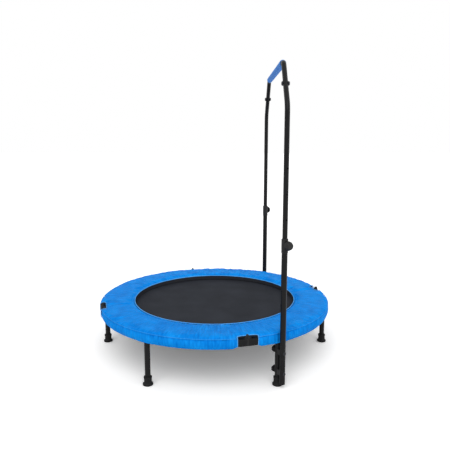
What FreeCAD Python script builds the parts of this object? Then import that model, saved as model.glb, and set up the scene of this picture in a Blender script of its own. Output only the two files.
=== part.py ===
import FreeCAD
import Part
import os
from math import acos, asin, atan, cos, degrees, radians, sin, tan

# Folding mini trampoline with a height-adjustable handle.
# Millimetres and degrees. The origin is on the floor under the middle of the mat.
# +Z is up, and the handle stands on the +X side, in a plane parallel to Y.

# The whole
outer_diameter = 1016.0         # over the ring tube, the size it is sold by

# Frame ring
ring_height = 194.0             # centre line of the ring tube above the floor
ring_tube = 22.2
ring_wall = 1.5
hinge_angles = [15.0, 105.0, 195.0, 285.0]

# Fold hinges
block_length = 38.0             # of one hinge half, along the ring
block_wall = 2.6                # round the ring tube
block_corner = 5.0
joint_gap = 0.6                 # between the two halves of a hinge, mat or pad
tube_setback = 6.0              # from the joint face to the end of the ring tube
knuckle_count = 3
knuckle_width = 3.2             # along the pin
knuckle_gap = 0.5
knuckle_radius = 4.2
knuckle_clearance = 0.4         # round a turning knuckle
arm_flat = 5.0                  # level top of a hinge arm, beside the pin
arm_length = 16.0
pin_diameter = 4.0
pin_clearance = 0.05
pin_head_diameter = 7.0
pin_head_height = 1.2
pin_outset = 1.1                # from the outer knuckle face in to the block's outer face

# Pad, mat and springs
pad_overlap = 14.0              # of the pad's inner edge over the mat
pad_thickness = 12.0
pad_edge_radius = 7.0
pad_inner_drop = 1.0            # the top slopes down to the inner edge
pad_mat_gap = 1.3               # from the mat's hem up to the pad's inner edge
pad_shoulder = 34.0             # level part of the pad over the ring
pad_lift = 3.0                  # from the ring tube to the underside of the foam
skirt_thickness = 2.0
skirt_clearance = 0.9           # from the ring tube to the skirt
skirt_drop = 20.0               # from the ring's centre line down to the skirt's hem
notch_clearance = 1.5           # pad to hinge
notch_corner = 8.0
side_notch_depth = 25.0         # from the pad's outer edge, at the two hinges off the fold line
mat_thickness = 1.2
hem_width = 14.0
hem_thickness = 2.6
springs_per_arc = 8
spring_diameter = 10.0
spring_wire = 2.4
spring_coil_length = 73.0
spring_hook_length = 25.0       # its hook and its tail together, beyond the V-ring and the coil
vring_length = 13.0
vring_width = 20.0
vring_wire = 2.6
hook_clearance = 0.1

# Legs and feet
leg_angles = [0.0, 60.0, 120.0, 180.0, 240.0, 300.0]
leg_tube = 22.2
leg_wall = 1.2
leg_stub_length = 24.0          # of the stub that the leg slides over
leg_stub_wall = 2.0
leg_collar_height = 5.0
slip_clearance = 0.05           # between tubes that stay together
foot_floor = 6.0                # rubber under the end of the leg
foot_height = 35.0
foot_top_diameter = 32.0
foot_body_diameter = 30.0
foot_base_diameter = 40.0
foot_base_height = 7.0
foot_rib_count = 3
foot_rib_depth = 1.3

# Handle
handle_angles = [60.0, 300.0]
upright_spacing = 30.0          # from the leg's centre line out to the upright's
lower_tube = 22.2
lower_wall = 1.2
plug_thickness = 4.0
plug_depth = 18.0
plug_rise = 15.0                # of the plug's underside above the floor
collar_wall = 1.5
collar_lip = 3.0
collar_rib_count = 3
adjuster_height = 553.0
collar_drop = 29.0              # from the adjuster down to the end of the collar
lower_rise = 20.0               # from the adjuster up to the top of the lower tube
hole_pitch = 92.0
hole_count = 4
upper_tube = 19.0
upper_wall = 1.2
upper_insert = 128.0            # of the upper tube inside the lower one
bend_height = 1046.0            # where the centre line turns inwards
bend_radius = 60.0
lean = 42.0                     # of the upper ends from the vertical, towards each other
lean_length = 220.0             # along the centre line, from bend to bar
corner_radius = 35.0
splice_distance = 128.0         # along the leaning part, from the bend
splice_insert = 45.0
splice_shoulder = 2.0           # where the bar's end steps down to fit the upright
splice_bolt_setback = 20.0      # from the splice back down the upright
bolt_diameter = 6.0
bolt_clearance = 0.2
cap_diameter = 17.0             # of the splice bolts' domed nuts
cap_height = 5.5
clamp_head_diameter = 13.0
clamp_head_height = 3.7
grip_diameter = 26.0
grip_end_gap = 9.0

# Spring-loaded adjusters
boss_diameter = 16.0
boss_reach = 17.0               # from the upright's centre line
adjuster_pin = 6.0
moving_gap = 0.3                # between pieces that slide or turn past each other
adjuster_knob_diameter = 34.0
adjuster_knob_length = 17.7
adjuster_knob_front = 25.0

# Clamps between the legs and the handle
clamp_rise = 14.0               # from the foot up to the lower saddle
clamp_drop = 54.0               # from the ring's centre line down to the upper saddle's
saddle_width = 18.0
saddle_height = 20.0
saddle_wrap = 5.0
clamp_knob_diameter = 27.0
clamp_knob_length = 14.0
clamp_knob_lobes = 6

# Worked out from the sizes above
pad_outer_radius = outer_diameter / 2 + skirt_clearance + skirt_thickness
ring_radius = (outer_diameter - ring_tube) / 2
mat_radius = ring_radius - ring_tube / 2 - spring_coil_length - spring_hook_length - vring_length
pad_inner_radius = mat_radius - pad_overlap
ring_top = ring_height + ring_tube / 2
pad_top = ring_top + pad_lift + pad_thickness
skirt_bottom = ring_height - skirt_drop
pivot_height = pad_top + joint_gap
block_half = ring_tube / 2 + block_wall
block_outer = ring_radius + block_half
knuckle_pitch = knuckle_width + knuckle_gap
knuckle_end = block_outer - pin_outset
knuckle_start = knuckle_end - knuckle_count * knuckle_pitch + knuckle_gap
upright_radius = ring_radius + upright_spacing
upright_x = upright_radius * cos(radians(handle_angles[0]))
upright_y = upright_radius * sin(radians(handle_angles[0]))
bar_half_length = upright_y - lean_length * sin(radians(lean))
bar_height = bend_height + lean_length * cos(radians(lean))
collar_bottom = adjuster_height - collar_drop
lower_top = adjuster_height + lower_rise
clamp_heights = [foot_height + clamp_rise + saddle_height / 2, ring_height - clamp_drop]

UP = FreeCAD.Vector(0, 0, 1)
OUT = FreeCAD.Vector(1, 0, 0)
ALONG = FreeCAD.Vector(0, 1, 0)
CENTRE = FreeCAD.Vector(0, 0, 0)
TOLERANCE = 0.001


def point(x, y, z):
    return FreeCAD.Vector(x, y, z)


def polar(radius, angle, height):
    return point(radius * cos(radians(angle)), radius * sin(radians(angle)), height)


def turned(shape, angle):
    # The same shape, carried round the ring to an angle.
    copy = shape.copy()
    copy.rotate(CENTRE, UP, angle)
    return copy


def rod(start, direction, diameter, length):
    return Part.makeCylinder(diameter / 2, length, start, direction)


def hollow(start, direction, diameter, bore, length):
    outside = rod(start, direction, diameter, length)
    return outside.cut(rod(start, direction, bore, length))


def box(low, high):
    size = high - low
    return Part.makeBox(size.x, size.y, size.z, low)


def joined(shapes):
    whole = shapes[0]
    if len(shapes) > 1:
        whole = whole.fuse(shapes[1:])
    return whole.removeSplitter()


def wire_of(corners):
    # A closed outline from (point, corner radius) pairs, with each corner rounded.
    starts = []
    ends = []
    arcs = []
    for index, (corner, radius) in enumerate(corners):
        before = (corners[index - 1][0] - corner).normalize()
        after = (corners[(index + 1) % len(corners)][0] - corner).normalize()
        if radius == 0:
            starts.append(corner)
            ends.append(corner)
            arcs.append(None)
            continue
        half_turn = acos(max(-1.0, min(1.0, before.dot(after)))) / 2
        tangent = radius / tan(half_turn)
        middle = (before + after).normalize()
        reach = radius / sin(half_turn) - radius
        starts.append(corner + before * tangent)
        ends.append(corner + after * tangent)
        arcs.append(corner + middle * reach)
    edges = []
    for index in range(len(corners)):
        if arcs[index] is not None:
            edges.append(Part.Arc(starts[index], arcs[index], ends[index]).toShape())
        following = starts[(index + 1) % len(corners)]
        if (following - ends[index]).Length > TOLERANCE:
            edges.append(Part.makeLine(ends[index], following))
    return Part.Wire(edges)


def section(corners):
    # A face in the plane Y = 0 from (x, z) or (x, z, corner radius) tuples.
    full = []
    for corner in corners:
        radius = corner[2] if len(corner) > 2 else 0
        full.append((point(corner[0], 0, corner[1]), radius))
    return Part.Face(wire_of(full))


def swept_round(corners, start_angle, end_angle):
    # The section, turned round the middle of the trampoline.
    face = section(corners)
    face.rotate(CENTRE, UP, start_angle)
    return face.revolve(CENTRE, UP, end_angle - start_angle)


def spun(corners, start, direction):
    # (distance from the axis, distance along it) tuples, spun about a directed axis.
    face = section(corners)
    solid = face.revolve(CENTRE, UP, 360)
    solid.Placement = FreeCAD.Placement(start, FreeCAD.Rotation(UP, direction))
    return solid


def bent_tube(corners, bend, diameter):
    # A round bar along straight runs that tangent arcs join.
    edges = []
    last = corners[0]
    for index in range(1, len(corners) - 1):
        corner = corners[index]
        before = (corners[index - 1] - corner).normalize()
        after = (corners[index + 1] - corner).normalize()
        half_turn = acos(before.dot(after)) / 2
        tangent = bend / tan(half_turn)
        middle = corner + (before + after).normalize() * (bend / sin(half_turn) - bend)
        edges.append(Part.makeLine(last, corner + before * tangent))
        edges.append(Part.Arc(corner + before * tangent, middle, corner + after * tangent).toShape())
        last = corner + after * tangent
    edges.append(Part.makeLine(last, corners[-1]))
    path = Part.Wire(edges)
    heading = (corners[1] - corners[0]).normalize()
    circle = Part.Wire(Part.makeCircle(diameter / 2, corners[0], heading))
    return path.makePipeShell([circle], True, False)


def joint_plane_box(side):
    # Everything that isn't on one side of the joint plane through angle 0.
    reach = 2 * pad_outer_radius
    low = -reach if side > 0 else -joint_gap / 2
    high = joint_gap / 2 if side > 0 else reach
    return box(point(-reach, low, -reach), point(reach, high, reach))


def ring_bar(diameter, start_angle, end_angle):
    circle = Part.Wire(Part.makeCircle(diameter / 2, point(ring_radius, 0, ring_height), ALONG))
    face = Part.Face(circle)
    face.rotate(CENTRE, UP, start_angle)
    return face.revolve(CENTRE, UP, end_angle - start_angle)


def spring_angles(arc_start):
    step = 90.0 / springs_per_arc
    return [arc_start + step * (index + 0.5) for index in range(springs_per_arc)]


def frame_arc(arc_start):
    # A quarter of the ring, with a stub for each leg and a hole for each spring.
    setback = degrees(asin(tube_setback / ring_radius))
    start_angle = arc_start + setback
    end_angle = arc_start + 90 - setback
    arc = ring_bar(ring_tube, start_angle, end_angle)
    stub_bore = leg_tube - 2 * leg_wall - 2 * slip_clearance
    for angle in leg_angles:
        if arc_start < angle % 360 < arc_start + 90 or arc_start < angle + 360 < arc_start + 90:
            bottom = polar(ring_radius, angle, leg_top() - leg_stub_length)
            shoulder = polar(ring_radius, angle, leg_top())
            stub = rod(bottom, UP, stub_bore, leg_stub_length + leg_collar_height / 2)
            weld = rod(shoulder, UP, leg_tube - leg_wall, ring_height - leg_top())
            hole = rod(bottom, UP, stub_bore - 2 * leg_stub_wall, ring_height - bottom.z)
            arc = arc.fuse(weld).fuse(stub).cut(hole)
    arc = arc.cut(ring_bar(ring_tube - 2 * ring_wall, start_angle, end_angle))
    for angle in spring_angles(arc_start):
        start = polar(ring_radius - ring_tube, angle, ring_height)
        arc = arc.cut(rod(start, polar(1, angle, 0), spring_wire + 2 * hook_clearance, ring_tube))
    return arc.removeSplitter()


def hinge_half(side, owns_outer):
    # The half of a hinge on one side of its joint plane, made at angle 0.
    # It is a sleeve round the ring tube, with arms up to its knuckles on the pin.
    low = ring_height - block_half
    high = ring_height + block_half
    inner = ring_radius - block_half
    sweep = degrees(asin(block_length / ring_radius))
    block = swept_round(
        [(inner, low, block_corner), (block_outer, low, block_corner),
         (block_outer, high, block_corner), (inner, high, block_corner)],
        0, side * sweep)
    arm_top = pivot_height - joint_gap
    arm = section([(0, ring_height), (0, arm_top), (arm_flat, arm_top), (arm_length, high),
                   (arm_length, ring_height)])
    arm.rotate(CENTRE, UP, side * 90)
    arm.translate(point(knuckle_start, 0, 0))
    arms = arm.extrude(point(knuckle_end - knuckle_start, 0, 0))
    body = block.fuse(arms)
    body = body.cut(ring_bar(ring_tube + 2 * slip_clearance, side * sweep * 1.2, 0))
    body = body.cut(joint_plane_box(side))
    for index in range(knuckle_count):
        start = point(knuckle_start + index * knuckle_pitch, 0, pivot_height)
        own = (index % 2 == 0) == owns_outer
        if own:
            body = body.fuse(rod(start, OUT, 2 * knuckle_radius, knuckle_width))
        else:
            start.x -= knuckle_gap
            swept = 2 * (knuckle_radius + knuckle_clearance)
            body = body.cut(rod(start, OUT, swept, knuckle_width + 2 * knuckle_gap))
    bore_start = point(ring_radius - ring_tube, 0, pivot_height)
    body = body.cut(rod(bore_start, OUT, pin_diameter + 2 * pin_clearance, 2 * ring_tube))
    return body.removeSplitter()


def hinge_pin():
    # A headed rivet through the knuckles, made at angle 0.
    start = knuckle_start - pin_clearance
    end = knuckle_end + pin_clearance
    shaft = rod(point(start, 0, pivot_height), OUT, pin_diameter, end - start)
    head = [(0, 0), (pin_head_diameter / 2, 0), (pin_head_diameter / 2, pin_head_height / 2),
            (pin_head_diameter / 3, pin_head_height), (0, pin_head_height)]
    outer_head = spun(head, point(end, 0, pivot_height), OUT)
    inner_head = spun(head, point(start, 0, pivot_height), OUT * -1)
    return joined([shaft, outer_head, inner_head])


def leg_top():
    return ring_height - ring_tube / 2 - leg_collar_height


def radial_hole(x_start, height, diameter, length):
    return rod(point(x_start, 0, height), OUT, diameter, length)


def leg(clamped):
    # A straight leg, made at angle 0; the two beside the handle are drilled.
    bore = leg_tube - 2 * leg_wall
    tube = hollow(point(ring_radius, 0, foot_floor), UP, leg_tube, bore, leg_top() - foot_floor)
    if clamped:
        for height in clamp_heights:
            drill = bolt_diameter + 2 * bolt_clearance
            tube = tube.cut(radial_hole(ring_radius - leg_tube, height, drill, 2 * leg_tube))
    return tube


def foot():
    # A ribbed rubber cup with a flared base, made at angle 0.
    body = foot_body_diameter / 2
    base = foot_base_diameter / 2
    ring = foot_top_diameter / 2
    band_bottom = foot_height - 8.0
    groove_start = foot_base_height + base - body
    outline = [(0, 0), (base - 1.5, 0), (base, 1.5), (base, foot_base_height), (body, groove_start)]
    pitch = (band_bottom - groove_start) / foot_rib_count
    for index in range(foot_rib_count):
        low = groove_start + pitch * index
        outline += [(body, low + pitch * 0.3), (body - foot_rib_depth, low + pitch * 0.6)]
        outline += [(body, low + pitch * 0.9)]
    bore = leg_tube / 2 + slip_clearance
    outline += [(ring, band_bottom + 1), (ring, foot_height - 1), (ring - 1, foot_height)]
    outline += [(bore, foot_height), (bore, foot_floor), (0, foot_floor)]
    return spun(outline, point(ring_radius, 0, 0), UP)


def mat_half():
    # A half disc of mat with a thicker sewn hem, made on the +Y side.
    half = mat_thickness / 2
    hem = hem_thickness / 2
    seam = mat_radius - hem_width
    outline = [(0, ring_height - half), (seam, ring_height - half), (seam, ring_height - hem),
               (mat_radius, ring_height - hem), (mat_radius, ring_height + hem),
               (seam, ring_height + hem), (seam, ring_height + half), (0, ring_height + half)]
    return swept_round(outline, 0, 180).cut(joint_plane_box(1))


def pad_half():
    # Half of the padded cover with its hanging skirt, made on the +Y side.
    underside = ring_top + pad_lift
    outer = pad_outer_radius
    skirt = outer - skirt_thickness
    level = outer - pad_shoulder
    inner_bottom = ring_height + hem_thickness / 2 + pad_mat_gap
    outline = [(pad_inner_radius, inner_bottom, 2), (level, underside), (skirt, underside),
               (skirt, skirt_bottom), (outer, skirt_bottom), (outer, pad_top, pad_edge_radius),
               (level, pad_top), (pad_inner_radius, pad_top - pad_inner_drop, 4)]
    pad = swept_round(outline, 0, 180).cut(joint_plane_box(1))
    notch_width = 2 * (block_length + notch_clearance)
    fold_start = knuckle_start - pin_head_height - notch_clearance
    for angle, start in [(0, fold_start), (90, outer - side_notch_depth), (180, fold_start)]:
        corner_points = [(point(start, -notch_width / 2, 0), notch_corner),
                         (point(start, notch_width / 2, 0), notch_corner),
                         (point(outer + notch_clearance, notch_width / 2, 0), 0),
                         (point(outer + notch_clearance, -notch_width / 2, 0), 0)]
        notch = Part.Face(wire_of(corner_points)).extrude(UP * (2 * pad_top))
        pad = pad.cut(turned(notch, angle))
    return pad


def v_ring():
    # A triangular wire loop on the mat's hem, made at angle 0.
    start = mat_radius + hook_clearance
    end = start + vring_length
    half = vring_width / 2
    low = ring_height - vring_wire / 2
    outside = Part.Face(wire_of([(point(start, -half, low), 2), (point(start, half, low), 2),
                                 (point(end, 0, low), 2)]))
    loop = outside.extrude(UP * vring_wire)
    inner = outside.copy()
    inner = inner.makeOffset2D(-vring_wire)
    return loop.cut(inner.extrude(UP * vring_wire))


def spring():
    # One tension spring from its V-ring to the ring tube, made at angle 0.
    hole = ring_radius - ring_tube / 2
    coil_end = hole - 2 * spring_wire
    coil_start = coil_end - spring_coil_length
    corner = atan(vring_width / 2 / vring_length)
    seat = (vring_wire + spring_wire / 2 + hook_clearance) / sin(corner)
    hook_x = mat_radius + hook_clearance + vring_length - seat
    over = ring_height + vring_wire / 2 + spring_wire / 2 + hook_clearance
    coil = hollow(point(coil_start, 0, ring_height), OUT, spring_diameter,
                  spring_diameter - 2 * spring_wire, spring_coil_length)
    end_disc = rod(point(coil_start, 0, ring_height), OUT, spring_diameter, spring_wire)
    outer_disc = rod(point(coil_end - spring_wire, 0, ring_height), OUT, spring_diameter, spring_wire)
    tail = rod(point(coil_end - spring_wire, 0, ring_height), OUT, spring_wire, 5 * spring_wire)
    hook = bent_tube([point(coil_start + spring_wire / 2, 0, over), point(hook_x, 0, over),
                      point(hook_x, 0, ring_height - vring_wire)], spring_wire, spring_wire)
    return joined([coil, end_disc, outer_disc, tail, hook])


def round_half(maker, start_angle):
    # Copies of one small piece at each spring of the two arcs of a half.
    piece = maker()
    angles = spring_angles(start_angle) + spring_angles(start_angle + 90)
    return Part.makeCompound([turned(piece, angle) for angle in angles])


def lower_upright():
    # The outer tube of one upright, made at angle 0.
    bottom = plug_rise + plug_thickness
    bore = lower_tube - 2 * lower_wall
    tube = hollow(point(upright_radius, 0, bottom), UP, lower_tube, bore, lower_top - bottom)
    drill = bolt_diameter + 2 * bolt_clearance
    for height in clamp_heights:
        tube = tube.cut(radial_hole(upright_radius - lower_tube, height, drill, 2 * lower_tube))
    pin_hole = adjuster_pin + 2 * moving_gap
    return tube.cut(radial_hole(upright_radius, adjuster_height, pin_hole, lower_tube))


def end_plug():
    # A glide in the bottom of the outer tube, made at angle 0.
    spigot = lower_tube - 2 * lower_wall - 2 * slip_clearance
    top = plug_thickness + plug_depth
    outline = [(0, 0), (lower_tube / 2 - 1, 0), (lower_tube / 2, 1), (lower_tube / 2, plug_thickness),
               (spigot / 2, plug_thickness), (spigot / 2, top - 1), (spigot / 2 - 1, top), (0, top)]
    return spun(outline, point(upright_radius, 0, plug_rise), UP)


def collar():
    # A ribbed sleeve round the tube's mouth with a boss for the adjuster, made at angle 0.
    inner = lower_tube / 2 + slip_clearance
    outer = inner + collar_wall
    mouth = upper_tube / 2 + moving_gap
    top = lower_top + collar_lip
    outline = [(inner, collar_bottom), (outer - 0.8, collar_bottom), (outer, collar_bottom + 0.8)]
    for index in range(collar_rib_count):
        low = collar_bottom + 3 + 4 * index
        outline += [(outer, low), (outer - 0.8, low + 0.8), (outer - 0.8, low + 1.6), (outer, low + 2.4)]
    outline += [(outer, top - 1.5), (outer - 1.5, top), (mouth, top), (mouth, lower_top), (inner, lower_top)]
    sleeve = spun(outline, point(upright_radius, 0, 0), UP)
    boss = radial_hole(upright_radius, adjuster_height, boss_diameter, boss_reach)
    boss = boss.cut(rod(point(upright_radius, 0, collar_bottom), UP, 2 * inner, top - collar_bottom))
    pin_hole = adjuster_pin + 2 * moving_gap
    return joined([sleeve, boss]).cut(radial_hole(upright_radius, adjuster_height, pin_hole, 2 * boss_reach))


def adjuster():
    # The pull knob moulded on its pin, made at angle 0.
    tip = upper_tube / 2 + moving_gap
    back = boss_reach + moving_gap
    radius = adjuster_knob_diameter / 2
    front = adjuster_knob_front / 2
    length = adjuster_knob_length
    outline = [(0, tip), (adjuster_pin / 2, tip), (adjuster_pin / 2, back), (radius - 1.5, back),
               (radius, back + 1.5), (radius, back + length * 0.45), (front, back + length, 3),
               (0, back + length)]
    knob = spun(outline, point(upright_radius, 0, adjuster_height), OUT)
    flute = adjuster_knob_diameter / 6
    for index in range(8):
        angle = radians(45 * index)
        reach = radius + flute * 0.6
        start = point(upright_radius + back - 1, reach * cos(angle), adjuster_height + reach * sin(angle))
        knob = knob.cut(rod(start, OUT, flute * 1.6, length * 0.45 + 1))
    return knob.removeSplitter()


def leaning(side):
    # The direction up the leaning part.
    return point(0, -side * sin(radians(lean)), cos(radians(lean)))


def on_lean(side, distance):
    # A place on the leaning part of an upright's centre line, from the bend.
    return point(upright_x, side * upright_y, bend_height) + leaning(side) * distance


def upper_upright(side, angle):
    # The inner tube: straight in the outer tube, then leaning in to the handle bar.
    start = point(upright_x, side * upright_y, lower_top - upper_insert)
    corner = on_lean(side, 0)
    end = on_lean(side, splice_distance)
    tube = bent_tube([start, corner, end], bend_radius, upper_tube)
    tube = tube.cut(bent_tube([start, corner, end], bend_radius, upper_tube - 2 * upper_wall))
    pin_hole = adjuster_pin + 2 * moving_gap
    for index in range(hole_count):
        height = adjuster_height + index * hole_pitch
        centre = point(upright_x, side * upright_y, height)
        tube = tube.cut(rod(centre, polar(1, angle, 0), pin_hole, upper_tube))
    return tube.cut(splice_hole(side))


def splice_hole(side):
    start = on_lean(side, splice_distance - splice_bolt_setback) - OUT * upper_tube
    return rod(start, OUT, bolt_diameter + 2 * bolt_clearance, 2 * upper_tube)


def handle_bar():
    # The bar with its two corners and reduced ends that fit inside the uprights.
    ends = [on_lean(side, splice_distance) for side in (-1, 1)]
    corners = [on_lean(side, lean_length) for side in (-1, 1)]
    route = [ends[0], corners[0], corners[1], ends[1]]
    bore = upper_tube - 2 * upper_wall
    reduced = bore - 2 * slip_clearance
    bar = bent_tube(route, corner_radius, upper_tube).cut(bent_tube(route, corner_radius, bore))
    for side in (-1, 1):
        joint = on_lean(side, splice_distance)
        shoulder = rod(joint, leaning(side), upper_tube, splice_shoulder)
        end = joint - leaning(side) * splice_insert
        bar = bar.fuse(shoulder).fuse(rod(end, leaning(side), reduced, splice_insert + splice_shoulder / 2))
        length = splice_insert + 2 * splice_shoulder
        bar = bar.cut(rod(end, leaning(side), reduced - 2 * upper_wall, length))
        bar = bar.cut(splice_hole(side))
    return bar.removeSplitter()


def splice_bolt(side):
    centre = on_lean(side, splice_distance - splice_bolt_setback)
    reach = upper_tube / 2
    shaft = rod(centre - OUT * reach, OUT, bolt_diameter, 2 * reach)
    cap = [(0, 0), (cap_diameter / 2, 0), (cap_diameter / 2, cap_height * 0.4),
           (cap_diameter / 3, cap_height), (0, cap_height)]
    caps = [spun(cap, centre + OUT * reach, OUT), spun(cap, centre - OUT * reach, OUT * -1)]
    return joined([shaft] + caps)


def foam_grip():
    turn = radians(90 - lean)
    half = bar_half_length - corner_radius * tan(turn / 2) - grip_end_gap
    start = point(upright_x, -half, bar_height)
    return hollow(start, ALONG, grip_diameter, upper_tube + 2 * slip_clearance, 2 * half)


def saddles():
    # Spacers shaped to the leg on one side and the upright on the other, made at angle 0.
    low = ring_radius + leg_tube / 2 - saddle_wrap
    high = upright_radius - lower_tube / 2 + saddle_wrap
    pieces = []
    for height in clamp_heights:
        block = box(point(low, -saddle_width / 2, height - saddle_height / 2),
                    point(high, saddle_width / 2, height + saddle_height / 2))
        for radius, tube in ((ring_radius, leg_tube), (upright_radius, lower_tube)):
            bore = rod(point(radius, 0, 0), UP, tube + 2 * slip_clearance, ring_height)
            block = block.cut(bore)
        drill = bolt_diameter + 2 * bolt_clearance
        pieces.append(block.cut(radial_hole(ring_radius, height, drill, upright_spacing)))
    return Part.makeCompound(pieces)


def clamp_knob_face():
    # Where the clamp knobs meet the inner side of the leg.
    return ring_radius - leg_tube / 2 - moving_gap


def clamp_bolts():
    # Carriage bolts through upright, saddle and leg, made at angle 0.
    head_seat = upright_radius + lower_tube / 2
    tip = clamp_knob_face() - clamp_knob_length * 0.7
    cap = [(0, 0), (clamp_head_diameter / 2, 0), (clamp_head_diameter / 2, clamp_head_height * 0.4),
           (clamp_head_diameter / 3, clamp_head_height), (0, clamp_head_height)]
    pieces = []
    for height in clamp_heights:
        shaft = radial_hole(tip, height, bolt_diameter, head_seat - tip)
        pieces.append(joined([shaft, spun(cap, point(head_seat, 0, height), OUT)]))
    return Part.makeCompound(pieces)


def clamp_knob(height):
    # A lobed hand nut on the inner end of a clamp bolt, made at angle 0.
    face = clamp_knob_face()
    radius = clamp_knob_diameter / 2
    length = clamp_knob_length
    outline = [(0, 0), (radius * 0.55, 0), (radius * 0.6, length * 0.2), (radius, length * 0.3),
               (radius, length - 1.5), (radius - 1.5, length), (0, length)]
    knob = spun(outline, point(face, 0, height), OUT * -1)
    for index in range(clamp_knob_lobes):
        angle = radians(360 / clamp_knob_lobes * index)
        reach = radius * 1.12
        start = point(face - length - 1, reach * cos(angle), height + reach * sin(angle))
        knob = knob.cut(rod(start, OUT, radius * 0.6, length + 2))
    thread = bolt_diameter + 2 * pin_clearance
    return knob.cut(radial_hole(face - length * 0.75, height, thread, length)).removeSplitter()


def write(name, shape):
    shape.exportStep("parts/" + name + ".step")


os.makedirs("parts", exist_ok=True)

# The half with the handle runs from the front hinge round the +X side to the back hinge.
fold_angle = hinge_angles[1]
arc_names = {"frame_arc_back_right": 15.0, "frame_arc_back_left": 105.0,
             "frame_arc_front_left": 195.0, "frame_arc_front_right": 285.0}
for name, arc_start in arc_names.items():
    write(name, frame_arc(arc_start))

hinge_names = {"right_hinge": 15.0, "back_hinge": 105.0, "left_hinge": 195.0, "front_hinge": 285.0}
half_names = {"right_hinge": ("front", "back"), "back_hinge": ("right", "left"),
              "left_hinge": ("back", "front"), "front_hinge": ("left", "right")}
clockwise_outer = {"right_hinge": True, "back_hinge": True, "left_hinge": True, "front_hinge": False}
for name, angle in hinge_names.items():
    first, second = half_names[name]
    outer_first = clockwise_outer[name]
    write(name + "_" + first + "_half", turned(hinge_half(-1, outer_first), angle))
    write(name + "_" + second + "_half", turned(hinge_half(1, not outer_first), angle))
    write(name + "_pin", turned(hinge_pin(), angle))

leg_names = ["right", "back_right", "back_left", "left", "front_left", "front_right"]
for name, angle in zip(leg_names, leg_angles):
    write("leg_" + name, turned(leg(angle in handle_angles), angle))
    write("foot_" + name, turned(foot(), angle))

for name, angle in (("fixed", fold_angle + 180), ("folding", fold_angle)):
    write("mat_" + name + "_half", turned(mat_half(), angle))
    write("pad_" + name + "_half", turned(pad_half(), angle))
    write("v_rings_" + name + "_half", round_half(v_ring, angle))
    write("springs_" + name + "_half", round_half(spring, angle))

for name, side, angle in (("back", 1, handle_angles[0]), ("front", -1, handle_angles[1])):
    write("lower_upright_" + name, turned(lower_upright(), angle))
    write("end_plug_" + name, turned(end_plug(), angle))
    write("collar_" + name, turned(collar(), angle))
    write("adjuster_" + name, turned(adjuster(), angle))
    write("upper_upright_" + name, upper_upright(side, angle))
    write("splice_bolt_" + name, splice_bolt(side))
    write("saddles_" + name, turned(saddles(), angle))
    write("clamp_bolts_" + name, turned(clamp_bolts(), angle))
    write("clamp_knob_low_" + name, turned(clamp_knob(clamp_heights[0]), angle))
    write("clamp_knob_high_" + name, turned(clamp_knob(clamp_heights[1]), angle))
write("handle_bar", handle_bar())
write("foam_grip", foam_grip())
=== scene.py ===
from math import asin, atan2, cos, hypot, pi, radians, sin, tau
import bmesh
import bpy
from mathutils import Matrix, Vector, noise
from mathutils.bvhtree import BVHTree


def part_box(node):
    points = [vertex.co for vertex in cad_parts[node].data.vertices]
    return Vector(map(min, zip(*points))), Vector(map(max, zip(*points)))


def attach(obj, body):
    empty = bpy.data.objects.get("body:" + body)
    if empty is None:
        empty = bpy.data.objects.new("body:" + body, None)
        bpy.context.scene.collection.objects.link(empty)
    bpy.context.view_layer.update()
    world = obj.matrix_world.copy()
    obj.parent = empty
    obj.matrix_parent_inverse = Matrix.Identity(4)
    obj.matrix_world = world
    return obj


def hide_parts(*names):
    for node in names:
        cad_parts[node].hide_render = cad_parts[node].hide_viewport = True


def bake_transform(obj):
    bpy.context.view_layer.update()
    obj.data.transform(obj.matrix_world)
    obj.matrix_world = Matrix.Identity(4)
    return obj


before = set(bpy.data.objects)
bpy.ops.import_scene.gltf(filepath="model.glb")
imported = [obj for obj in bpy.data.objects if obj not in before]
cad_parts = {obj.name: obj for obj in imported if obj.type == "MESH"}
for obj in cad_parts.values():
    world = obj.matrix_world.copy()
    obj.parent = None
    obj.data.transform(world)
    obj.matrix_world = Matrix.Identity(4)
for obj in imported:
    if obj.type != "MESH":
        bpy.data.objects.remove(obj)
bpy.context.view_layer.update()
print("frame loaded:", len(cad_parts), "pieces")

# Where things are, read from the frame. Metres, +Z up, the middle of the mat over the origin.
padLow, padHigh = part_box("pad_fixed_half")
matLow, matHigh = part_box("mat_fixed_half")
gripLow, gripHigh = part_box("foam_grip")
ringHeight = (matLow.z + matHigh.z) / 2
outerRadius = padHigh.x
matRadius = matHigh.x
springCount = 32
springStep = 360 / springCount
legAngles = [0.0, 60.0, 120.0, 180.0, 240.0, 300.0]
firstHinge = 15   # degrees from +X; the others follow every 90, and the fold line joins the second and the fourth


def placeCamera():
    camera = {"place": (0.0474, -2.2774, 0.9341), "tilt": 80.406, "lens": 41.149, "sensor": 36}
    bpy.ops.object.camera_add(location=camera["place"], rotation=(radians(camera["tilt"]), 0, 0))
    bpy.context.object.data.lens = camera["lens"]
    bpy.context.object.data.sensor_width = camera["sensor"]
    bpy.context.scene.camera = bpy.context.object


placeCamera()
print("camera placed")


def hexColour(text):
    # sRGB hex to the linear colour that a socket takes.
    channels = [int(text[i:i + 2], 16) / 255 for i in (0, 2, 4)]
    return [c / 12.92 if c <= 0.04045 else ((c + 0.055) / 1.055) ** 2.4 for c in channels] + [1]


def addNode(material, kind, settings=None, links=None):
    # A node with its settings, and links from other nodes' sockets into its own.
    node = material.node_tree.nodes.new(kind)
    for name, value in (settings or {}).items():
        if isinstance(name, str) and hasattr(node, name):
            setattr(node, name, value)
        else:
            node.inputs[name].default_value = value
    for name, socket in (links or {}).items():
        material.node_tree.links.new(socket, node.inputs[name])
    return node


def startMaterial(name):
    material = bpy.data.materials.new(name)
    material.use_nodes = True
    material.node_tree.nodes.clear()
    return material


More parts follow.
